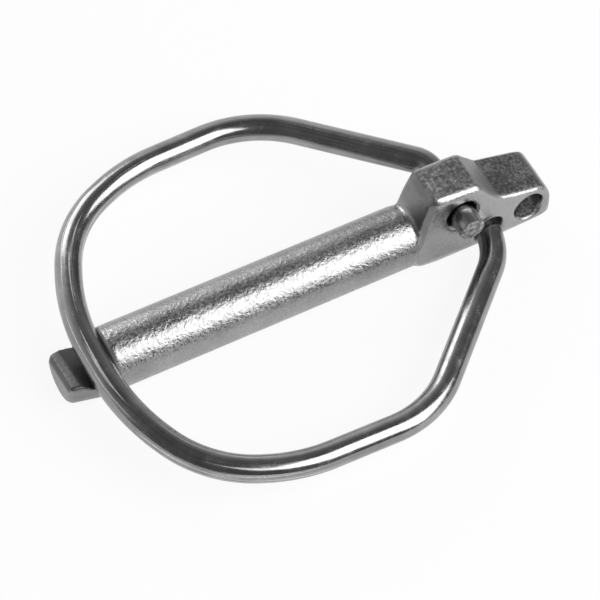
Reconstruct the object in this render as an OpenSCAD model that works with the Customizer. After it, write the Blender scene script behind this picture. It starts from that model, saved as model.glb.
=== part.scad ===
// Linch pin with a folding spring bow, lying on its shank and the flat under its head.
// The pin runs along X: the tip is at -X, the head at +X, and the crest of the head is on top.

/* [Shank] */
// Diameter of the round shank
shank_d = 10; // [8:0.5:12]
// Plain length of the shank, from the fillet under the head to the wire seat
grip_len = 50.5; // [46:0.5:60]

/* [Tip] */
// Depth of the wire seat's floor below the shank's axis
seat_depth = 0; // [-0.5:0.1:1.5]
// Roll of the seat about the shank, with its near side up
seat_roll = 10; // [0:1:14]
// Length of the tongue beyond the step of the seat
tongue_len = 8; // [7.6:0.1:12]
// Height of the lip beyond the seat, above the seat's floor
lip_rise = 1.3; // [0.2:0.1:1.8]
// Length of the slope from the seat's floor up to the lip
lip_run = 2.5; // [1.8:0.1:2.8]
// Length of the bevel from the lip down to the end face
nose_len = 0.6; // [0.3:0.1:1]
// Drop of that bevel
nose_drop = 0.8; // [0.4:0.1:1.2]
// Share of the tongue's length that tapers
taper_share = 0.6; // [0.4:0.05:0.85]
// Narrowing of the tip's radius over the taper
taper = 0.9; // [0.2:0.1:1.6]
// Chamfer round the end face
tip_chamfer = 0.6; // [0.2:0.1:1]

/* [Head] */
// Height of the crest above the shank's axis
crest_h = 11; // [8:0.5:13]
// Distance from the fillet to the front edge of the crest
crest_x = 3.3; // [3:0.1:5]
// Length of the crest's top
crest_len = 7; // [5:0.5:10]
// Fall of the crest's top towards the tail
crest_fall = 0.45; // [0:0.05:1]
// Length of the slope from the crest down to the tail lobe
slope_len = 4.4; // [3:0.2:7]
// Height of the tail lobe where it meets the slope, above the shank's axis
tail_h = 5.8; // [4.8:0.2:7]
// Drop of the head's flat underside below the shank's lowest line
base_drop = 0.3; // [0.05:0.05:0.5]
// Distance from the slope's foot back to where the underside starts to rise
heel_back = 0; // [-2:0.5:4]
// Width of the head at its widest line
head_w = 9.5; // [8.5:0.1:10]
// Depth of the widest line below the shank's axis
wide_line = 2.6; // [1:0.2:3.6]
// Width of the head at the crest
crest_w = 7.2; // [6:0.2:8.4]
// Width of the head's underside
base_w = 7.4; // [6.6:0.2:8.2]
// Lean of the shoulder's face, from square to the shank
shoulder_lean = 17; // [8:1:35]
// Fillet between shank and shoulder
fillet_r = 0.8; // [0.4:0.1:1.5]
// Bevel on the upright edges between the shoulder and the head's faces
cheek_bevel = 0.8; // [0.3:0.1:1.2]
// Bevel along the edges of the crest
crest_bevel = 0.7; // [0.2:0.1:1.2]
// Bevel on the crest's front edge
brow_bevel = 1; // [0.3:0.1:1.4]
// Bevel along the edges of the tail lobe
tail_bevel = 0.4; // [0.2:0.1:0.8]

/* [Tail eye] */
// Diameter of the lanyard hole
lanyard_d = 5; // [3:0.5:5.5]
// Distance from the slope's foot to the lanyard hole
lanyard_out = 5.8; // [5:0.1:8]
// Height of the lanyard hole above the shank's axis
lanyard_z = 0.2; // [-0.5:0.1:1]
// Wall round the end of the lanyard hole
eye_wall = 1.6; // [1:0.1:3]
// Corner radius under the end of the tail
toe_r = 1.8; // [1:0.1:2.4]
// Rise of the underside from heel to toe
toe_rise = 1.5; // [0.4:0.1:2]

/* [Bow] */
// Diameter of the bow's wire
wire_d = 4.2; // [3:0.1:4.6]
// Radial clearance of the wire in its two holes
hole_gap = 0.5; // [0.1:0.05:0.6]
// Distance from the fillet to the upper wire hole
upper_x = 7.85; // [6.5:0.05:9]
// Height of the upper wire hole above the shank's axis
upper_z = 5.5; // [4.5:0.1:6.5]
// Distance from the fillet to the lower wire hole
lower_x = 13.3; // [12:0.1:14.5]
// Height of the lower wire hole, negative below the shank's axis
lower_z = -1.4; // [-1.8:0.1:-0.4]
// Length of the stub that stands out of the near face
stub_len = 3.1; // [1:0.1:5]
// Chamfer of the wire's cut ends
wire_chamfer = 0.3; // [0.1:0.1:0.6]
// Least room between the wire and the seat's floor
seat_gap = 0.1; // [0.02:0.01:0.2]
// Room between the wire and the step of the seat
step_gap = 0.35; // [0.3:0.05:0.6]
// Room between the near leg's open end and the side of the shank, which it passes as the bow turns
open_gap = 0.25; // [0.15:0.05:0.5]
// Half width of the bow's centre line, out to its third and widest corner
bow_half = 29.7; // [28:0.1:32]
// Rise of the bow per millimetre towards its far side
bow_lean = 0.02; // [0:0.005:0.04]
// Rise of the bow from its third corners to the end bar
bow_rise = 1.8; // [0:0.1:2.4]
// Shift of the bow's third corners towards the near side
bow_skew = 0.5; // [0:0.1:1]
// Further shift of the end bar towards the near side
end_skew = 1.05; // [0:0.05:1.5]
// Half length of the crowned end bar, to its corner
crown_half = 9.15; // [7:0.05:11]
// Distance from the end bar back to the first corner
knee_back = 6.5; // [5:0.1:8]
// Inset of the first corner from the bow's widest corner
knee_in = 6.1; // [4.5:0.1:8]
// Distance from the end bar back to the second corner
side_back = 19.1; // [17:0.1:22]
// Inset of the second corner from the bow's widest corner
side_in = 0.8; // [0:0.1:1.5]
// Distance from the end bar back to the third corner
hip_back = 41.1; // [38:0.1:43]
// Distance from the upper hole's mouth to the corner where the far leg turns in
eye_out = 3.2; // [2.4:0.1:4]
// Distance from the near leg's open end to the corner where that leg turns in
near_out = 3; // [2.4:0.1:4]
// Distance of that corner from the lower hole's axis, towards the tip
near_in = 0.8; // [0:0.1:1.6]
// Rise of that corner above the lower hole's axis
near_lift = 0.2; // [-0.4:0.1:0.6]
// Rise of the open end above the lower hole's axis
end_lift = 0.9; // [0:0.1:1.2]
// Distance of the open end from the lower hole's axis, towards the tip
near_slack = 0.4; // [0:0.1:0.5]
// Bend radius of the end bar's corners
crown_r = 34; // [20:1:38]
// Bend radius of the first corners
knee_r = 19.5; // [10:0.5:22]
// Bend radius of the second corners
side_r = 28; // [18:1:34]
// Bend radius of the third corners
hip_r = 17; // [8:0.5:20]
// Bend radius where the far leg turns into the upper hole
eye_r = 4.5; // [3:0.1:5]

/* [Hidden] */
$fn = 96;
shank_r = shank_d / 2;
wire_r = wire_d / 2;
hole_r = wire_r + hole_gap;
seat_z = -seat_depth;
seat_edge_z = sqrt(shank_r * shank_r - seat_depth * seat_depth) * sin(seat_roll) + seat_z * cos(seat_roll);
step_x = -grip_len;
tip_x = step_x - tongue_len;
crest_end_x = crest_x + crest_len;
foot_x = crest_end_x + slope_len;
lanyard_x = foot_x + lanyard_out;
eye_round = lanyard_d / 2 + eye_wall;
head_end = lanyard_x + eye_round;
heel_x = foot_x - heel_back;
base_h = shank_r + base_drop;
toe_z = -base_h + toe_rise;
lip_z = seat_z + lip_rise;
far_out = shank_d * 2;
root = 1;
diagonal = sqrt(2);

// Half width of the head at a height above the shank's axis
function half_at(z) = head_w / 2 - (head_w - crest_w) / 2 * (z + wide_line) / (crest_h + wide_line);

// Point of the fillet's profile, as radius and distance, at an angle from the shank's side
fillet_steps = 6;
fillet_sweep = 90 - shoulder_lean;
function fillet_point(a) = [shank_r + fillet_r * (1 - cos(a)), fillet_r * sin(a)];

// Distance of the shoulder's edge with the head's side from the fillet, at a height above the shank's axis
fillet_run = fillet_r * tan(fillet_sweep / 2);
function shoulder_at(z) = fillet_run + (norm([half_at(z), z]) - shank_r) * tan(shoulder_lean);

// Unit vector along v
function unit(v) = v / norm(v);

// Turn in degrees between two unit vectors
function turn(a, b) = acos(min(1, max(-1, a * b)));

// The bow's centre line as corners, from the stub round the end bar to the open end
end_x = step_x - step_gap - wire_r;
bar_z = seat_edge_z + seat_gap + wire_r;
function bow_at(x, y, share) = [x, y, bar_z - bow_rise * (1 - share) + bow_lean * (y + shank_r)];
function bow_shift(share) = bow_skew + end_skew * share;
function corner_at(back, half, side, share) = bow_at(end_x + back, side * half - bow_shift(share), share);
function corner(back, half, side) = corner_at(back, half, side, 1 - back / hip_back);
function half_bow(side) = [
    corner(hip_back, bow_half, side),
    corner(side_back, bow_half - side_in, side),
    corner(knee_back, bow_half - knee_in, side),
    corner(0, crown_half, side)
];
far_mouth = half_at(upper_z);
near_mouth = shank_r + open_gap;
upper_axis = [upper_x, 0, upper_z];
lower_axis = [lower_x, 0, lower_z];
near_half = half_bow(-1);
bow_line = concat(
    [upper_axis - [0, far_mouth + stub_len, 0], upper_axis + [0, far_mouth + eye_out, 0]],
    half_bow(1),
    [for (i = [3:-1:0]) near_half[i]],
    [
        lower_axis + [-near_in, -near_mouth - near_out, near_lift],
        lower_axis + [-near_slack, wire_r - near_mouth, end_lift]
    ]
);
bow_radii = [eye_r, hip_r, side_r, knee_r, crown_r, crown_r, knee_r, side_r, hip_r];
runs = len(bow_line) - 1;
bow_dir = [for (i = [0:runs - 1]) unit(bow_line[i + 1] - bow_line[i])];
bow_run = [for (i = [0:runs - 1]) norm(bow_line[i + 1] - bow_line[i])];

// Length from each corner to where its bend starts, kept within the straight runs beside it
near_reach = near_out + wire_r / 2;
bow_turn = [for (i = [1:runs - 1]) turn(bow_dir[i - 1], bow_dir[i])];
reach = concat([0], [for (i = [0:runs - 3]) bow_radii[i] * tan(bow_turn[i] / 2)], [near_reach, 0]);
function fill(i) = 0.95 * bow_run[i] / (reach[i] + reach[i + 1]);
bend_reach = concat([0], [for (i = [1:runs - 1]) reach[i] * min(1, fill(i - 1), fill(i))], [0]);
bow_from = [for (i = [0:runs - 1]) bow_line[i] + bow_dir[i] * bend_reach[i]];
bow_to = [for (i = [0:runs - 1]) bow_line[i + 1] - bow_dir[i] * bend_reach[i + 1]];

// Straight runs reach this far into the bends, which are swollen by a hair
run_lap = 0.15;
bend_swell = 0.03;

// Extrudes a side view, drawn in X and Z, evenly to both sides of the shank's axis
module side_view(width) {
    rotate([90, 0, 0])
        linear_extrude(width, center = true)
            children();
}

// Round bar with the tapered and chamfered tip
module shank() {
    rotate([0, 90, 0])
        rotate_extrude()
            polygon([
                [0, tip_x],
                [shank_r - taper - tip_chamfer, tip_x],
                [shank_r - taper, tip_x + tip_chamfer],
                [shank_r - taper / 8, tip_x + taper_share * tongue_len],
                [shank_r, step_x],
                [shank_r, 0],
                [0, 0]
            ]);
}

// What is cut off the top of the tip to leave the seat, its step and the lip
module seat_cut() {
    floor_end = end_x - wire_r / 2;
    nose_z = lip_z - nose_drop;
    rotate([-seat_roll, 0, 0])
        side_view(far_out)
            polygon([
                [step_x, shank_d],
                [step_x, seat_z],
                [floor_end, seat_z],
                [floor_end - lip_run, lip_z],
                [tip_x + nose_len, lip_z],
                [tip_x, nose_z],
                [tip_x - shank_d, nose_z],
                [tip_x - shank_d, shank_d]
            ]);
}

// Side view of the head: underside, rounded tail, slope and crest
module head_outline() {
    brow_z = crest_h - brow_bevel;
    difference() {
        union() {
            polygon([
                [-root, -base_h],
                [heel_x, -base_h],
                [head_end - toe_r, toe_z],
                [head_end - toe_r, toe_z + toe_r],
                [head_end, toe_z + toe_r],
                [head_end, lanyard_z],
                [lanyard_x, lanyard_z],
                [lanyard_x, lanyard_z + eye_round],
                [foot_x, tail_h],
                [crest_end_x, crest_h - crest_fall],
                [crest_x, crest_h],
                [crest_x - brow_bevel, brow_z],
                [-root, brow_z]
            ]);
            translate([lanyard_x, lanyard_z])
                circle(r = eye_round);
            translate([head_end - toe_r, toe_z + toe_r])
                circle(r = toe_r);
        }
        translate([lanyard_x, lanyard_z])
            circle(d = lanyard_d);
        translate([upper_x, upper_z])
            circle(r = hole_r);
        translate([lower_x, lower_z])
            circle(r = hole_r);
    }
}

// End view of the head: tapered to the crest above its widest line and to the underside below it
module head_section() {
    rotate([90, 0, 90])
        translate([0, 0, -root])
            linear_extrude(head_end + 2 * root)
                polygon([
                    [-base_w / 2, -base_h],
                    [base_w / 2, -base_h],
                    [head_w / 2, -wide_line],
                    [crest_w / 2, crest_h],
                    [-crest_w / 2, crest_h],
                    [-head_w / 2, -wide_line]
                ]);
}

// Leaning shoulder about the shank's axis, with its fillet
module shoulder() {
    rise = crest_h + far_out;
    rotate([0, 90, 0])
        rotate_extrude()
            polygon(concat(
                [[0, -root], [shank_r - root / 2, -root]],
                [for (i = [0:fillet_steps]) fillet_point(i * fillet_sweep / fillet_steps)],
                [
                    [shank_r + rise, fillet_run + rise * tan(shoulder_lean)],
                    [shank_r + rise, head_end + 2 * rise],
                    [0, head_end + 2 * rise]
                ]
            ));
}

// Cuts one straight bevel off both upper edges from x0, z0 to x1, z1, running on past x1
module edge_bevel(x0, z0, x1, z1, size) {
    fall = atan2(z0 - z1, x1 - x0);
    long = norm([x1 - x0, z1 - z0]) + shank_r;
    edge = size * diagonal;
    for (side = [-1, 1])
        translate([x0, side * half_at((z0 + z1) / 2), z0])
            rotate([0, fall, 0])
                rotate([45, 0, 0])
                    translate([0, -edge / 2, -edge / 2])
                        cube([long, edge, edge]);
}

// Cuts a bevel off the upright edges between the shoulder and the head's sides
module cheek_cut() {
    draft = atan2(half_at(0) - half_at(crest_h), crest_h);
    lean = atan2(shoulder_at(crest_h) - shoulder_at(shank_r), crest_h - shank_r);
    edge = cheek_bevel * diagonal;
    for (side = [-1, 1])
        translate([shoulder_at(shank_r), side * half_at(shank_r), shank_r])
            rotate([side * draft, lean, 0])
                rotate([0, 0, 45])
                    cube([edge, edge, 2 * far_out], center = true);
}

// Forged head
module head() {
    difference() {
        intersection() {
            side_view(far_out)
                head_outline();
            head_section();
            shoulder();
        }
        cheek_cut();
        edge_bevel(crest_x - shank_r, crest_h, crest_end_x, crest_h - crest_fall, crest_bevel);
        edge_bevel(foot_x + tail_bevel, tail_h, lanyard_x, lanyard_z + eye_round, tail_bevel);
    }
}

module pin() {
    color("silver")
        union() {
            difference() {
                shank();
                seat_cut();
            }
            head();
        }
}

// Straight piece of wire between two bends
module wire_run(p, q) {
    d = unit(q - p);
    translate(p - d * run_lap)
        rotate([0, acos(d[2]), atan2(d[1], d[0])])
            cylinder(h = norm(q - p) + 2 * run_lap, r = wire_r);
}

// Bent piece of wire at corner p, from direction a to direction b, starting at a distance from the corner
module wire_bend(p, a, b, back) {
    t = turn(a, b);
    r = back / tan(t / 2);
    inward = unit(b - a * (a * b));
    x = -inward;
    z = cross(x, a);
    c = p - a * back + inward * r;
    multmatrix([
        [x[0], a[0], z[0], c[0]],
        [x[1], a[1], z[1], c[1]],
        [x[2], a[2], z[2], c[2]],
        [0, 0, 0, 1]
    ])
        rotate_extrude(angle = t)
            translate([r, 0])
                circle(r = wire_r + bend_swell);
}

// Straight piece of wire from a bend at p to the chamfered cut end at q
module wire_tail(p, q) {
    d = unit(q - p);
    long = norm(q - p);
    translate(p)
        rotate([0, acos(d[2]), atan2(d[1], d[0])])
            rotate_extrude()
                polygon([
                    [0, -run_lap],
                    [wire_r, -run_lap],
                    [wire_r, long - wire_chamfer],
                    [wire_r - wire_chamfer, long],
                    [0, long]
                ]);
}

// Space that the near leg's open end leaves between itself and the head
module open_cut() {
    size = 2 * (wire_r + root);
    translate([lower_x - near_slack - size / 2, -near_mouth, lower_z + end_lift - size / 2])
        cube(size);
}

module bow() {
    color("dimgray")
        difference() {
            union() {
                wire_tail(bow_to[0], bow_line[0]);
                for (i = [1:runs - 2])
                    wire_run(bow_from[i], bow_to[i]);
                for (i = [1:runs - 1])
                    wire_bend(bow_line[i], bow_dir[i - 1], bow_dir[i], bend_reach[i]);
            }
            open_cut();
        }
}

pin();
bow();
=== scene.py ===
"""Looks of a linch pin: a forged, zinc-plated pin with a folding bow of spring wire."""

import math

import bmesh
import bpy
from mathutils import Matrix, Vector


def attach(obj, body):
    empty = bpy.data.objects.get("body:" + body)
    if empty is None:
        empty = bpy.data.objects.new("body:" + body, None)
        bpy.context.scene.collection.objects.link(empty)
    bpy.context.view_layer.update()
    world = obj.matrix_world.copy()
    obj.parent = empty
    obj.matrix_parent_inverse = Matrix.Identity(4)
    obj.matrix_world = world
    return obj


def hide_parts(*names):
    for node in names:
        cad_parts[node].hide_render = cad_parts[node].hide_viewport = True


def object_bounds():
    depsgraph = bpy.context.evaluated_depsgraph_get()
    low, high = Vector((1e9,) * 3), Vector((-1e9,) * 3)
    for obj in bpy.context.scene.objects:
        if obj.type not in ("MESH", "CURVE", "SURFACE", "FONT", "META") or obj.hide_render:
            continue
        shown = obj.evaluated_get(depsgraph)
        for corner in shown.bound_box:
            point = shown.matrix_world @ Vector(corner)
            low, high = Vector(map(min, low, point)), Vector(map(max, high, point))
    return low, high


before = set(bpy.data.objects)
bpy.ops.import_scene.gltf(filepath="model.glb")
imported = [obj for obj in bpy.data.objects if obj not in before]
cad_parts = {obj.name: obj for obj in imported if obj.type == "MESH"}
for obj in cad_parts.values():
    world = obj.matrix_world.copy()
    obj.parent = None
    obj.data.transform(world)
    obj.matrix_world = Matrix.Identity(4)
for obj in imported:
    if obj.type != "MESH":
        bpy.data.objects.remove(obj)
cad_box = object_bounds()

MM = 0.001

# The pin, in millimetres, as its solid has it: the shank runs from the step of the wire seat,
# at -GRIP_LEN, to the head, at 0, and the seat is rolled about the shank
SHANK_R = 5.0
GRIP_LEN = 50.5
SEAT_ROLL = math.radians(10)

# The pin's skin: gap at which corners merge and size of its faces, in millimetres, and rounds
# of smoothing all over and in each zone
MERGE_GAP = 0.0001
PIN_SKIN = 0.206
PIN_SMOOTHING = 8
HEAD_SMOOTHING = 40
TAIL_SMOOTHING = 90
HEEL_SMOOTHING = 200

# Zones of the pin, in millimetres. Here and below, a pair of numbers runs from where a share
# is nothing to where it is full
HEAD_X = (0.8, 2.8)
TAIL_X = (11.5, 13.5)
TAIL_NEAR_Y = (0.0, -2.0)
HEEL_START_X = (-1.2, 0.0)
HEEL_STOP_X = (4.5, 2.5)
HEEL_Z = (-2.5, -4.0)

# Far cheek of the head: how far it comes out, and where
FAR_FULLNESS = 0.45
FAR_CHEEK_X = (0.0, 2.5)
FAR_CHEEK_Y = (1.5, 3.5)
FAR_CHEEK_Z = (1.0, 6.0)

# Shank: skin that lies this close to the true radius is put on it, between two ends
SHANK_SLACK = 0.12
SHANK_TIP_X = -GRIP_LEN + 0.5
SHANK_HEAD_X = -0.4

# Step of the wire seat: radius of its rounded edge, reach of its face towards the wire, and
# the heights over the shank's axis, square to the seat, at which each begins
STEP_ROUND = 0.45
STEP_REACH = 0.2
STEP_TIP_X = -GRIP_LEN - 0.15
STEP_HEAD_X = -GRIP_LEN + 3.0
ROUND_HEIGHT = (0.2, 1.6)
REACH_HEIGHT = (0.1, 0.7)
REACH_X = (-GRIP_LEN + 2.5, -GRIP_LEN)

# Finishes of the pin, by place in millimetres and by the part of the skin's normal that
# points up, across the pin or along it
TOP_X = (2.4, 3.2)
TOP_UP = (0.62, 0.86)
TOP_ACROSS = (0.5, 0.3)
AGED_X = (11.0, 13.0)
# The step's face takes a lighter grey: painted light where the wire shades it
STEP_LIGHT_OFF_STEP = (0.6, 0.2)
STEP_LIGHT_ALONG = (0.5, 0.9)
TONGUE_X = (-GRIP_LEN, -GRIP_LEN - 0.4)
TONGUE_UP = (0.2, 0.6)
TONGUE_SIDE_WEAR = 0.3
SLOPE_START_X = (0.4, 1.2)
SLOPE_STOP_X = (15.5, 13.5)
SLOPE_ALONG = (0.3, 0.6)
# Share of the dark wear grey put on the head's slopes: painted shade
SLOPE_SHADE = 0.5
FINE_HEAD_X = (-0.6, 0.6)
FINE_GRAIN = 0.3

# The bow's wire, in millimetres. The open end is cut square at OPEN_END_Y, and only skin within
# OPEN_END_ROOM of it is cut. A flat end has more than CAP_CORNERS corners, other faces fewer
WIRE_R = 2.1
WIRE_SIDES = 56
WIRE_STEP = 0.45
BEND_STEPS = 24
BEND_FILL = 0.95
END_CHAMFER = 0.3
CHAMFER_STEPS = 3
CUT_DEPTH = 0.9 * END_CHAMFER
OPEN_END_Y = -5.25
OPEN_END_ROOM = 5.0
CAP_CORNERS = 8

# Corners of one half of the ring, from the widest corner to the end bar over the tip:
# distance back from the end bar, half width and bend radius
HALF_RING = [(41.1, 29.7, 17.0), (19.1, 28.9, 28.0), (6.5, 23.6, 19.5), (0.0, 9.15, 34.0)]
RING_LEN = HALF_RING[0][0]
END_BAR_X = -52.95
END_BAR_Z = 3.068
RING_RISE = 1.8
RING_LEAN = 0.02
RING_SKEW = 0.5
END_SKEW = 1.05

# Legs of the bow: the far one turns into the upper hole and ends as a stub, the near one turns
# towards the lower hole and takes NEAR_REACH of the straight runs beside its corner
EYE_BEND_R = 4.5
NEAR_REACH = 4.05
STUB_END = (7.85, -7.165, 5.5)
EYE_CORNER = (7.85, 7.265, 5.5)
NEAR_CORNER = (12.5, -8.25, -1.2)
OPEN_END = (12.9, -3.15, -0.5)

# The stage: height and half width of its floor in metres, how white the floor is to light, to
# the camera and to the metal, the room's tones, and the way to its backdrop
FLOOR_Z = cad_box[0][2]
FLOOR_HALF = 1.5
FLOOR_WHITE = 0.95
SEEN_WHITE = 0.9
MIRRORED_WHITE = 0.5
ROOM_TONE = 0.15
BACKDROP_TONE = 0.85
BACKDROP_TURN = math.radians(100)
BACKDROP_WIDTH = (0.1, 0.8)
BACKDROP_HEIGHT = (0.92, 0.45)


def smooth_step(span, value):
    """Share of a value between the two numbers of a span, eased at both."""
    low, high = span
    share = min(1.0, max(0.0, (value - low) / (high - low)))
    return share * share * (3.0 - 2.0 * share)


def in_mm(vert):
    return [value / MM for value in vert.co]


def link(obj):
    bpy.context.scene.collection.objects.link(obj)
    return obj


def baked(obj):
    """Plain mesh of obj as its modifiers leave it."""
    graph = bpy.context.evaluated_depsgraph_get()
    mesh = bpy.data.meshes.new_from_object(obj.evaluated_get(graph))
    obj.modifiers.clear()
    return mesh


# Materials


def empty_tree(owner):
    """Node tree of a material or a world, cleared."""
    owner.use_nodes = True
    owner.node_tree.nodes.clear()
    return owner.node_tree


def new_metal(name):
    mat = bpy.data.materials.new(name)
    tree = empty_tree(mat)
    out = tree.nodes.new("ShaderNodeOutputMaterial")
    shader = tree.nodes.new("ShaderNodeBsdfPrincipled")
    shader.inputs["Metallic"].default_value = 1.0
    tree.links.new(shader.outputs["BSDF"], out.inputs["Surface"])
    return mat, tree, shader


def noise(tree, vector, scale, detail, rough=0.5):
    tex = tree.nodes.new("ShaderNodeTexNoise")
    tex.inputs["Scale"].default_value = scale
    tex.inputs["Detail"].default_value = detail
    tex.inputs["Roughness"].default_value = rough
    tree.links.new(vector, tex.inputs["Vector"])
    return tex.outputs["Fac"]


def spread(tree, value, span, to=(0.0, 1.0)):
    """Moves a value from one span of numbers to another and keeps it inside."""
    node = tree.nodes.new("ShaderNodeMapRange")
    node.inputs["From Min"].default_value = span[0]
    node.inputs["From Max"].default_value = span[1]
    node.inputs["To Min"].default_value = to[0]
    node.inputs["To Max"].default_value = to[1]
    tree.links.new(value, node.inputs["Value"])
    return node.outputs["Result"]


def ramp(tree, value, stops):
    """Greys at their places along a value."""
    node = tree.nodes.new("ShaderNodeValToRGB")
    points = node.color_ramp.elements
    while len(points) < len(stops):
        points.new(0.5)
    for point, (place, grey) in zip(points, stops):
        point.position = place
        point.color = (grey, grey, grey, 1.0)
    tree.links.new(value, node.inputs["Fac"])
    return node.outputs["Color"]


def math_node(tree, what, *values):
    node = tree.nodes.new("ShaderNodeMath")
    node.operation = what
    for socket, value in zip(node.inputs, values):
        if isinstance(value, (int, float)):
            socket.default_value = value
        else:
            tree.links.new(value, socket)
    return node.outputs["Value"]


def bump(tree, height, strength, depth, below=None):
    """Normal of a skin bumped by a depth in millimetres, over another bump or the bare mesh."""
    node = tree.nodes.new("ShaderNodeBump")
    node.inputs["Strength"].default_value = strength
    node.inputs["Distance"].default_value = depth * MM
    tree.links.new(height, node.inputs["Height"])
    if below is not None:
        tree.links.new(below, node.inputs["Normal"])
    return node.outputs["Normal"]


def attribute(tree, name, output="Fac"):
    node = tree.nodes.new("ShaderNodeAttribute")
    node.attribute_name = name
    return node.outputs[output]


def object_place(tree):
    return tree.nodes.new("ShaderNodeTexCoord").outputs["Object"]


def parts_of(tree, vector):
    """X, Y and Z of a vector."""
    node = tree.nodes.new("ShaderNodeSeparateXYZ")
    tree.links.new(vector, node.inputs["Vector"])
    return node.outputs


def mixed(tree, share, a, b):
    """Mix of two colours. The node has sockets of one name for each kind, so they go by number."""
    node = tree.nodes.new("ShaderNodeMix")
    node.data_type = "RGBA"
    tree.links.new(share, node.inputs[0])
    tree.links.new(a, node.inputs[6])
    tree.links.new(b, node.inputs[7])
    return node.outputs[2]


def forged_steel():
    """Bright zinc over a forged pin: fine grain on the shank, raw scale on the head's tops."""
    mat, tree, shader = new_metal("forged_zinc")
    place = object_place(tree)
    raw = attribute(tree, "raw")
    aged = attribute(tree, "aged")
    painted_step_light = attribute(tree, "painted_step_light")
    wear_and_shade = attribute(tree, "wear_and_shade")
    grainy = attribute(tree, "grainy")
    grain = noise(tree, place, scale=1700.0, detail=3.0, rough=0.6)
    lumps = noise(tree, place, scale=600.0, detail=3.0, rough=0.55)
    cloud = noise(tree, place, scale=160.0, detail=4.0, rough=0.6)
    scale = noise(tree, place, scale=1900.0, detail=6.0, rough=0.75)
    specks = noise(tree, place, scale=2400.0, detail=2.0)

    clean = ramp(tree, cloud, [(0.30, 0.34), (0.52, 0.39), (0.75, 0.44)])
    # Lighter grey for the step's face: painted light where the wire and the seat shade it
    painted_light_grey = ramp(tree, grain, [(0.30, 0.60), (0.70, 0.85)])
    # Dark grey for wear on the tongue, and painted shade on the head's slopes
    rubbed_and_shaded = ramp(tree, cloud, [(0.30, 0.10), (0.70, 0.17)])
    plated = mixed(tree, wear_and_shade, mixed(tree, painted_step_light, clean, painted_light_grey), rubbed_and_shaded)
    patches = math_node(tree, "MULTIPLY", cloud, 0.3)
    flakes = math_node(tree, "MULTIPLY_ADD", scale, 0.7, patches)
    fresh = ramp(tree, flakes, [(0.40, 0.09), (0.50, 0.20), (0.60, 0.49)])
    dark = ramp(tree, flakes, [(0.40, 0.05), (0.50, 0.10), (0.60, 0.27)])
    mottled = mixed(tree, aged, fresh, dark)
    tree.links.new(mixed(tree, raw, plated, mottled), shader.inputs["Base Color"])

    glints = spread(tree, specks, (0.38, 0.62), to=(-0.10, 0.15))
    even = spread(tree, cloud, (0.3, 0.7), to=(0.26, 0.31))
    rough = math_node(tree, "MULTIPLY_ADD", glints, grainy, even)
    for finish, dulling in ((wear_and_shade, 0.15), (painted_step_light, 0.5), (raw, 0.08)):
        rough = math_node(tree, "MULTIPLY_ADD", finish, dulling, rough)
    tree.links.new(rough, shader.inputs["Roughness"])

    fine = bump(tree, math_node(tree, "MULTIPLY", grain, grainy), strength=0.9, depth=0.13)
    soft = bump(tree, lumps, strength=0.4, depth=0.15, below=fine)
    scaly = math_node(tree, "MULTIPLY", scale, raw)
    skin = bump(tree, scaly, strength=0.9, depth=0.3, below=soft)
    tree.links.new(skin, shader.inputs["Normal"])
    return mat


def drawn_wire():
    """Zinc-plated spring wire with drawing lines, scuffed near the tip, rough at the stub's end."""
    mat, tree, shader = new_metal("drawn_wire")
    place = object_place(tree)
    cut = attribute(tree, "cut")
    lap = parts_of(tree, attribute(tree, "lap", "Vector"))
    flow = tree.nodes.new("ShaderNodeCombineXYZ")
    tree.links.new(lap["X"], flow.inputs["X"])
    tree.links.new(lap["Y"], flow.inputs["Y"])
    stretched = math_node(tree, "MULTIPLY", attribute(tree, "along"), 0.02)
    tree.links.new(stretched, flow.inputs["Z"])
    lines = noise(tree, flow.outputs["Vector"], scale=2600.0, detail=3.0, rough=0.6)
    scratches = noise(tree, flow.outputs["Vector"], scale=2100.0, detail=2.0)
    cloud = noise(tree, place, scale=240.0, detail=4.0, rough=0.6)
    grain = noise(tree, place, scale=4200.0, detail=2.0)
    knocks = noise(tree, place, scale=620.0, detail=6.0, rough=0.75)
    burr = noise(tree, place, scale=1500.0, detail=4.0, rough=0.6)

    tone = math_node(tree, "MULTIPLY_ADD", lines, 0.5, math_node(tree, "MULTIPLY", cloud, 0.5))
    from_tip = (-45.0 * MM, -20.0 * MM)
    near_tip = spread(tree, parts_of(tree, place)["X"], from_tip, to=(1.0, 0.15))
    scuffs = math_node(tree, "MULTIPLY", spread(tree, scratches, (0.59, 0.66)), near_tip)
    skin = ramp(tree, tone, [(0.34, 0.24), (0.50, 0.32), (0.68, 0.43)])
    bare = ramp(tree, grain, [(0.30, 0.55), (0.70, 0.85)])
    sawn = ramp(tree, burr, [(0.36, 0.16), (0.50, 0.34), (0.62, 0.62)])
    drawn = mixed(tree, scuffs, skin, bare)
    tree.links.new(mixed(tree, cut, drawn, sawn), shader.inputs["Base Color"])

    even = spread(tree, tone, (0.3, 0.7), to=(0.12, 0.22))
    nicks = spread(tree, knocks, (0.50, 0.64), to=(0.0, 0.11))
    rough = math_node(tree, "ADD", even, nicks)
    for finish, dulling in ((scuffs, 0.32), (cut, 0.28)):
        rough = math_node(tree, "MULTIPLY_ADD", finish, dulling, rough)
    tree.links.new(rough, shader.inputs["Roughness"])

    fine = bump(tree, lines, strength=0.12, depth=0.04)
    soft = bump(tree, grain, strength=0.10, depth=0.04, below=fine)
    torn = bump(tree, math_node(tree, "MULTIPLY", burr, cut), strength=0.8, depth=0.25, below=soft)
    tree.links.new(torn, shader.inputs["Normal"])
    return mat


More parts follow.
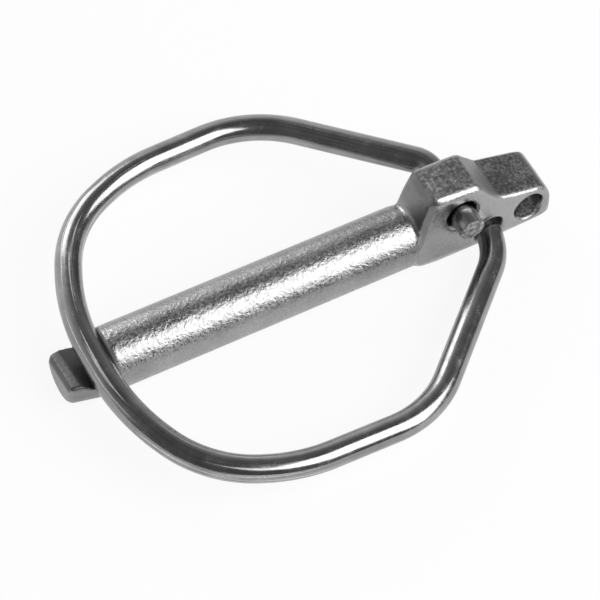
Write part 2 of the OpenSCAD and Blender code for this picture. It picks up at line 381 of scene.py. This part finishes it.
def pale_floor():
    """White table: it keeps the shadow, and the camera and the metal see it as pale."""
    mat = bpy.data.materials.new("pale_floor")
    tree = empty_tree(mat)
    out = tree.nodes.new("ShaderNodeOutputMaterial")
    card = tree.nodes.new("ShaderNodeBsdfDiffuse")
    card.inputs["Color"].default_value = (FLOOR_WHITE, FLOOR_WHITE, FLOOR_WHITE, 1.0)
    glow = tree.nodes.new("ShaderNodeEmission")
    glow.inputs["Strength"].default_value = 1.0
    rays = tree.nodes.new("ShaderNodeLightPath").outputs
    bounced = math_node(tree, "MAXIMUM", rays["Is Glossy Ray"], rays["Is Transmission Ray"])
    mirrored = math_node(tree, "MULTIPLY", bounced, MIRRORED_WHITE)
    seen = math_node(tree, "MULTIPLY", rays["Is Camera Ray"], SEEN_WHITE)
    mix = tree.nodes.new("ShaderNodeMixShader")
    tree.links.new(math_node(tree, "MAXIMUM", seen, mirrored), mix.inputs["Fac"])
    tree.links.new(card.outputs["BSDF"], mix.inputs[1])
    tree.links.new(glow.outputs["Emission"], mix.inputs[2])
    tree.links.new(mix.outputs["Shader"], out.inputs["Surface"])
    return mat


# The pin


def forged_pin(material):
    """The pin's own solid with a fine skin, its edges softened as a forging's are."""
    solid = bmesh.new()
    solid.from_mesh(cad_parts["pin"].data)
    bmesh.ops.remove_doubles(solid, verts=solid.verts, dist=MERGE_GAP * MM)
    mesh = bpy.data.meshes.new("forged_pin")
    solid.to_mesh(mesh)
    solid.free()
    pin = link(bpy.data.objects.new("forged_pin", mesh))
    skin = pin.modifiers.new("skin", "REMESH")
    skin.mode = "VOXEL"
    skin.voxel_size = PIN_SKIN * MM
    pin.data = baked(pin)
    pin.data.name = "forged_pin"
    pin.data.shade_smooth()
    soften_edges(pin)
    fill_far_cheek(pin.data)
    round_shank(pin.data)
    round_step(pin.data)
    mark_finishes(pin.data)
    pin.data.materials.clear()
    pin.data.materials.append(material)
    return pin


def soften_edges(pin):
    """Eases all edges a little, the forged head's more, its tail's near ones and its heel most."""
    zones = {name: pin.vertex_groups.new(name=name) for name in ("head", "tail", "heel")}
    for vert in pin.data.vertices:
        x, y, z = in_mm(vert)
        heel_x = smooth_step(HEEL_START_X, x) * smooth_step(HEEL_STOP_X, x)
        shares = {
            "head": smooth_step(HEAD_X, x),
            "tail": smooth_step(TAIL_X, x) * smooth_step(TAIL_NEAR_Y, y),
            "heel": heel_x * smooth_step(HEEL_Z, z),
        }
        for name, share in shares.items():
            zones[name].add([vert.index], share, "REPLACE")
    # A smoothing without a zone takes the whole skin
    rounds = {
        "": PIN_SMOOTHING,
        "head": HEAD_SMOOTHING,
        "tail": TAIL_SMOOTHING,
        "heel": HEEL_SMOOTHING,
    }
    for name, count in rounds.items():
        soft = pin.modifiers.new("soft_edges", "SMOOTH")
        soft.factor = 0.5
        soft.iterations = count
        soft.vertex_group = name
    pin.data = baked(pin)
    pin.vertex_groups.clear()


def fill_far_cheek(mesh):
    """Brings the upper part of the head's far side out, where the softening drew its edges in."""
    for vert in mesh.vertices:
        x, y, z = in_mm(vert)
        far = smooth_step(FAR_CHEEK_X, x) * smooth_step(FAR_CHEEK_Y, y)
        vert.co.y += FAR_FULLNESS * far * smooth_step(FAR_CHEEK_Z, z) * MM


def round_shank(mesh):
    """Puts the shank's skin back on its true radius."""
    for vert in mesh.vertices:
        x, y, z = in_mm(vert)
        radius = math.hypot(y, z)
        if SHANK_TIP_X < x < SHANK_HEAD_X and abs(radius - SHANK_R) < SHANK_SLACK:
            vert.co.y *= SHANK_R / radius
            vert.co.z *= SHANK_R / radius


def round_step(mesh):
    """Rounds the shank's edge over the step of the wire seat and brings the step up to the wire."""
    for vert in mesh.vertices:
        x, y, z = in_mm(vert)
        if not STEP_TIP_X < x < STEP_HEAD_X:
            continue
        height = z * math.cos(SEAT_ROLL) + y * math.sin(SEAT_ROLL)
        edge_r = STEP_ROUND * smooth_step(ROUND_HEIGHT, height)
        radius = math.hypot(y, z)
        back = x - (edge_r - GRIP_LEN)
        out = radius - (SHANK_R - edge_r)
        if back < 0.0 < out:
            to_arc = edge_r / math.hypot(back, out)
            turned = (SHANK_R - edge_r + out * to_arc) / radius
            x = edge_r - GRIP_LEN + back * to_arc
            vert.co.y *= turned
            vert.co.z *= turned
        reach = smooth_step(REACH_HEIGHT, height) * smooth_step(REACH_X, x)
        vert.co.x = (x - STEP_REACH * reach) * MM


def mark_finishes(mesh):
    """Marks raw and aged tops, painted step light and slope shade, tongue wear, grainy shank."""
    finishes = {name: [] for name in ("raw", "aged", "painted_step_light", "wear_and_shade", "grainy")}
    for vert in mesh.vertices:
        x = vert.co.x / MM
        along, across, up = vert.normal
        top = smooth_step(TOP_UP, up) * smooth_step(TOP_ACROSS, abs(across))
        finishes["raw"].append(top * smooth_step(TOP_X, x))
        finishes["aged"].append(smooth_step(AGED_X, x))
        # Painted light on the step's face, which the wire shades
        at_step = smooth_step(STEP_LIGHT_OFF_STEP, abs(x + GRIP_LEN + STEP_REACH / 2))
        finishes["painted_step_light"].append(at_step * smooth_step(STEP_LIGHT_ALONG, -along))
        tongue = smooth_step(TONGUE_X, x)
        flat_wear = (1.0 - TONGUE_SIDE_WEAR) * smooth_step(TONGUE_UP, up)
        # The head's slopes take the dark wear grey as painted shade
        head = smooth_step(SLOPE_START_X, x) * smooth_step(SLOPE_STOP_X, x)
        slope = head * smooth_step(SLOPE_ALONG, abs(along))
        finishes["wear_and_shade"].append(max(SLOPE_SHADE * slope, tongue * (TONGUE_SIDE_WEAR + flat_wear)))
        fine = max(tongue, smooth_step(FINE_HEAD_X, x))
        finishes["grainy"].append(1.0 - (1.0 - FINE_GRAIN) * fine)
    for name, values in finishes.items():
        mesh.attributes.new(name, "FLOAT", "POINT").data.foreach_set("value", values)


# The bow


def ring_corner(back, half, side):
    """Corner of the ring on its far (1) or near (-1) side, in millimetres."""
    share = 1.0 - back / RING_LEN
    y = side * half - RING_SKEW - END_SKEW * share
    z = END_BAR_Z - RING_RISE * (1.0 - share) + RING_LEAN * (y + SHANK_R)
    return Vector((END_BAR_X + back, y, z))


def bow_corners():
    """Corners of the wire in metres, each with the bend radius that fits its straight runs."""
    ring = [(ring_corner(back, half, 1), r) for back, half, r in HALF_RING]
    ring += [(ring_corner(back, half, -1), r) for back, half, r in reversed(HALF_RING)]
    bent = [(Vector(EYE_CORNER), EYE_BEND_R)] + ring
    points = [Vector(STUB_END)] + [p for p, _ in bent] + [Vector(NEAR_CORNER), Vector(OPEN_END)]
    runs = [b - a for a, b in zip(points, points[1:])]
    turns = [a.angle(b) for a, b in zip(runs, runs[1:])]
    reach = [0.0] + [r * math.tan(t / 2) for (_, r), t in zip(bent, turns)] + [NEAR_REACH, 0.0]
    fill = [BEND_FILL * run.length / (reach[i] + reach[i + 1]) for i, run in enumerate(runs)]
    radii = [0.0]
    for i, turn in enumerate(turns, start=1):
        kept = reach[i] * min(1.0, fill[i - 1], fill[i])
        radii.append(kept / math.tan(turn / 2) * MM)
    radii.append(0.0)
    return [p * MM for p in points], radii


def wire_tree():
    """Rounds the corners of a path and runs a wire along it."""
    tree = bpy.data.node_groups.new("wire_along_path", "GeometryNodeTree")
    inputs = {
        "Path": "NodeSocketGeometry",
        "Wire radius": "NodeSocketFloat",
        "Step along": "NodeSocketFloat",
        "Sides": "NodeSocketInt",
        "Bend steps": "NodeSocketInt",
        "Material": "NodeSocketMaterial",
    }
    for name, kind in inputs.items():
        tree.interface.new_socket(name, in_out="INPUT", socket_type=kind)
    tree.interface.new_socket("Wire", in_out="OUTPUT", socket_type="NodeSocketGeometry")

    def add(kind, **settings):
        node = tree.nodes.new(kind)
        for key, value in settings.items():
            setattr(node, key, value)
        return node

    given = add("NodeGroupInput")
    path = add("GeometryNodeMeshToCurve")
    bend = add("GeometryNodeInputNamedAttribute", data_type="FLOAT")
    bend.inputs["Name"].default_value = "bend"
    rounded = add("GeometryNodeFilletCurve", mode="POLY")
    stepped = add("GeometryNodeResampleCurve", mode="LENGTH")
    place = add("GeometryNodeSplineParameter")
    marked = add("GeometryNodeStoreNamedAttribute", data_type="FLOAT", domain="POINT")
    marked.inputs["Name"].default_value = "along"
    ring = add("GeometryNodeCurvePrimitiveCircle", mode="RADIUS")
    here = add("GeometryNodeInputPosition")
    lapped = add("GeometryNodeStoreNamedAttribute", data_type="FLOAT_VECTOR", domain="POINT")
    lapped.inputs["Name"].default_value = "lap"
    wire = add("GeometryNodeCurveToMesh")
    wire.inputs["Fill Caps"].default_value = True
    smooth = add("GeometryNodeSetShadeSmooth")
    real = add("GeometryNodeRealizeInstances")
    painted = add("GeometryNodeSetMaterial")
    out = add("NodeGroupOutput")

    join = tree.links.new
    join(given.outputs["Path"], path.inputs["Mesh"])
    join(path.outputs["Curve"], rounded.inputs["Curve"])
    join(bend.outputs["Attribute"], rounded.inputs["Radius"])
    join(given.outputs["Bend steps"], rounded.inputs["Count"])
    join(rounded.outputs["Curve"], stepped.inputs["Curve"])
    join(given.outputs["Step along"], stepped.inputs["Length"])
    join(stepped.outputs["Curve"], marked.inputs["Geometry"])
    join(place.outputs["Length"], marked.inputs["Value"])
    join(given.outputs["Sides"], ring.inputs["Resolution"])
    join(given.outputs["Wire radius"], ring.inputs["Radius"])
    join(ring.outputs["Curve"], lapped.inputs["Geometry"])
    join(here.outputs["Position"], lapped.inputs["Value"])
    join(marked.outputs["Geometry"], wire.inputs["Curve"])
    join(lapped.outputs["Geometry"], wire.inputs["Profile Curve"])
    join(wire.outputs["Mesh"], smooth.inputs["Geometry"])
    join(smooth.outputs["Geometry"], real.inputs["Geometry"])
    join(real.outputs["Geometry"], painted.inputs["Geometry"])
    join(given.outputs["Material"], painted.inputs["Material"])
    join(painted.outputs["Geometry"], out.inputs["Wire"])
    return tree


def spring_bow(material):
    """The bow's wire along its corners, with both ends trimmed."""
    points, radii = bow_corners()
    mesh = bpy.data.meshes.new("spring_bow")
    mesh.from_pydata(points, [(i, i + 1) for i in range(len(points) - 1)], [])
    mesh.attributes.new("bend", "FLOAT", "POINT").data.foreach_set("value", radii)
    bow = link(bpy.data.objects.new("spring_bow", mesh))
    tree = wire_tree()
    wire = bow.modifiers.new("wire", "NODES")
    wire.node_group = tree
    values = {
        "Wire radius": WIRE_R * MM,
        "Step along": WIRE_STEP * MM,
        "Sides": WIRE_SIDES,
        "Bend steps": BEND_STEPS,
        "Material": material,
    }
    for item in tree.interface.items_tree:
        if item.in_out == "INPUT" and item.name in values:
            wire[item.identifier] = values[item.name]
    bow.data = baked(bow)
    bow.data.name = "spring_bow"
    trim_ends(bow.data)
    return bow


def flat_ends(wire):
    return [face for face in wire.faces if len(face.verts) > CAP_CORNERS]


def trim_ends(mesh):
    """Cuts the open end square, chamfers the stub's end and marks it as a rough cut."""
    wire = bmesh.new()
    wire.from_mesh(mesh)
    open_end = Vector(OPEN_END) * MM
    verts = [v for v in wire.verts if (v.co - open_end).length < OPEN_END_ROOM * MM]
    reach = set(verts)
    edges = [e for e in wire.edges if all(v in reach for v in e.verts)]
    faces = [f for f in wire.faces if all(v in reach for v in f.verts)]
    bmesh.ops.bisect_plane(
        wire,
        geom=verts + edges + faces,
        plane_co=(0.0, OPEN_END_Y * MM, 0.0),
        plane_no=(0.0, 1.0, 0.0),
        clear_outer=True,
    )
    rim = [e for e in wire.edges if e.is_boundary]
    bmesh.ops.holes_fill(wire, edges=rim, sides=0)
    stub = max(flat_ends(wire), key=lambda face: face.calc_center_median().z)
    bmesh.ops.bevel(
        wire,
        geom=list(stub.edges),
        offset=END_CHAMFER * MM,
        segments=CHAMFER_STEPS,
        profile=0.5,
        affect="EDGES",
    )
    for face in flat_ends(wire):
        face.smooth = False
    cut = wire.verts.layers.float.new("cut")
    for vert in wire.verts:
        from_end = vert.co / MM - Vector(STUB_END)
        at_stub = from_end.length < WIRE_R + END_CHAMFER
        vert[cut] = float(at_stub and from_end.y < CUT_DEPTH)
    wire.to_mesh(mesh)
    wire.free()


# The stage


def floor(material):
    mesh = bpy.data.meshes.new("floor")
    corners = [(-1, -1), (1, -1), (1, 1), (-1, 1)]
    places = [(x * FLOOR_HALF, y * FLOOR_HALF, FLOOR_Z) for x, y in corners]
    mesh.from_pydata(places, [], [(0, 1, 2, 3)])
    mesh.materials.append(material)
    table = link(bpy.data.objects.new("floor", mesh))


def soft_lamp(name, place, back, edge, size, brightness):
    """Soft lamp by its place, the way its back points, one edge's direction and its brightness."""
    data = bpy.data.lights.new(name, "AREA")
    data.shape = "RECTANGLE"
    data.size, data.size_y = size
    data.energy = brightness * math.pi * size[0] * size[1]
    lamp = link(bpy.data.objects.new(name, data))
    behind = Vector(back).normalized()
    across = behind.cross(Vector(edge)).normalized()
    turn = Matrix((across.cross(behind), across, behind)).transposed()
    lamp.matrix_world = Matrix.Translation(place) @ turn.to_4x4()


def room():
    """Dim room with a pale backdrop low on its far side."""
    world = bpy.data.worlds.new("studio")
    tree = empty_tree(world)
    out = tree.nodes.new("ShaderNodeOutputWorld")
    sky = tree.nodes.new("ShaderNodeBackground")
    sky.inputs["Strength"].default_value = 1.0
    way = tree.nodes.new("ShaderNodeTexCoord").outputs["Generated"]
    to_far = tree.nodes.new("ShaderNodeVectorMath")
    to_far.operation = "DOT_PRODUCT"
    tree.links.new(way, to_far.inputs[0])
    to_far.inputs[1].default_value = (math.cos(BACKDROP_TURN), math.sin(BACKDROP_TURN), 0.0)
    wide = spread(tree, to_far.outputs["Value"], BACKDROP_WIDTH)
    low = spread(tree, parts_of(tree, way)["Z"], BACKDROP_HEIGHT)
    backdrop = math_node(tree, "MULTIPLY", wide, low)
    tone = ramp(tree, backdrop, [(0.0, ROOM_TONE), (1.0, BACKDROP_TONE)])
    tree.links.new(tone, sky.inputs["Color"])
    tree.links.new(sky.outputs["Background"], out.inputs["Surface"])
    bpy.context.scene.world = world


def lamps():
    """A large soft lamp on the near side and a smaller one on the far side."""
    soft_lamp(
        "near_softbox",
        place=(0.306, -0.330, 0.565),
        back=(0.427, -0.883, 0.197),
        edge=(0.635, 0.137, -0.761),
        size=(0.76, 0.72),
        brightness=3.9,
    )
    soft_lamp(
        "far_softbox",
        place=(-0.09, 0.63, 0.38),
        back=(0.0, 0.98, 0.2),
        edge=(-0.5, 0.0, -0.87),
        size=(0.38, 0.36),
        brightness=2.6,
    )


def photo_camera():
    """Camera as fitted to the shank, the holes and the bow's outline."""
    place = (-0.128955, -0.172604, 0.302873)
    right = Vector((0.87928, -0.47346, 0.05237))
    up = Vector((0.37000, 0.74809, 0.55090))
    back = Vector((-0.30, -0.465, 0.83293))
    data = bpy.data.cameras.new("camera")
    data.sensor_width = 36.0
    data.lens = 144.0
    data.clip_start = 0.01
    camera = link(bpy.data.objects.new("camera", data))
    turn = Matrix((right, up, back)).transposed()
    camera.matrix_world = Matrix.Translation(place) @ turn.to_4x4()
    bpy.context.scene.camera = camera


scene = bpy.context.scene
scene.view_settings.view_transform = "Standard"

pin = forged_pin(forged_steel())
bow = spring_bow(drawn_wire())
for piece, name in ((pin, "pin"), (bow, "bow")):
    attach(piece, name)
    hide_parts(name)

floor(pale_floor())
room()
lamps()
photo_camera()
